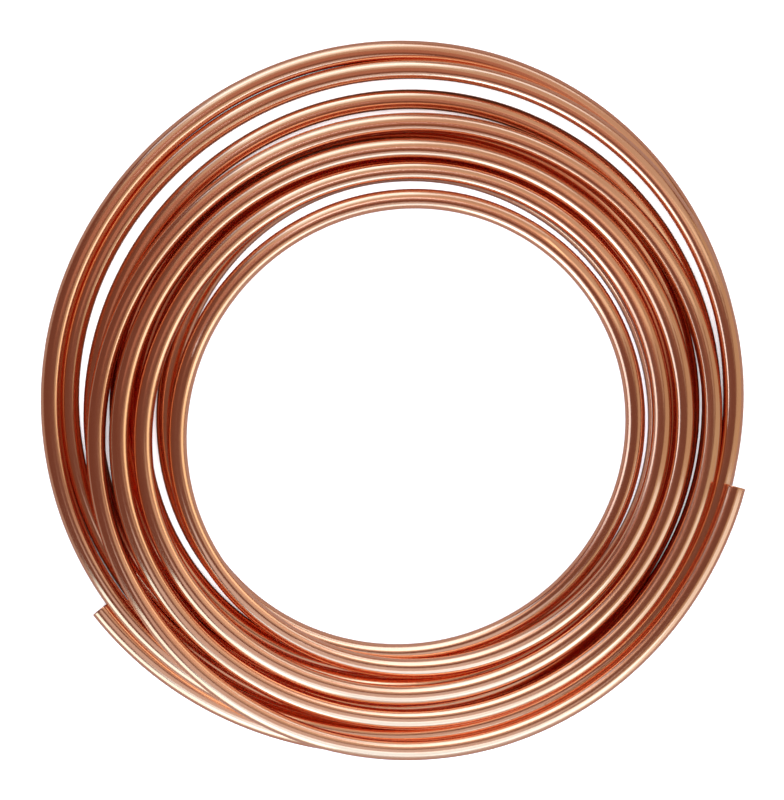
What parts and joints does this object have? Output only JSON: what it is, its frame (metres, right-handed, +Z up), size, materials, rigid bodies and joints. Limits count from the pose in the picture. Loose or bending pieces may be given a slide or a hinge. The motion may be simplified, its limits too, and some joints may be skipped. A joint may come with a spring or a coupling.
{
  "type": "copper tube coil",
  "caption": "Coil of soft copper tube lying flat, wound in an upper and a lower layer around an open eye, with both square-cut ends on the outside.",
  "frame": {"origin": "centre of the coil's outline, on the floor it lies on", "axes": "+Z up through the eye; +X to the right and +Y to the top of the coil as it is seen from above"},
  "size_m": [0.5579, 0.5648, 0.0429],
  "materials": {
    "copper": "bright drawn copper"
  },
  "bodies": {
    "root": {"copper_tube": "copper"}
  },
  "joints": []
}
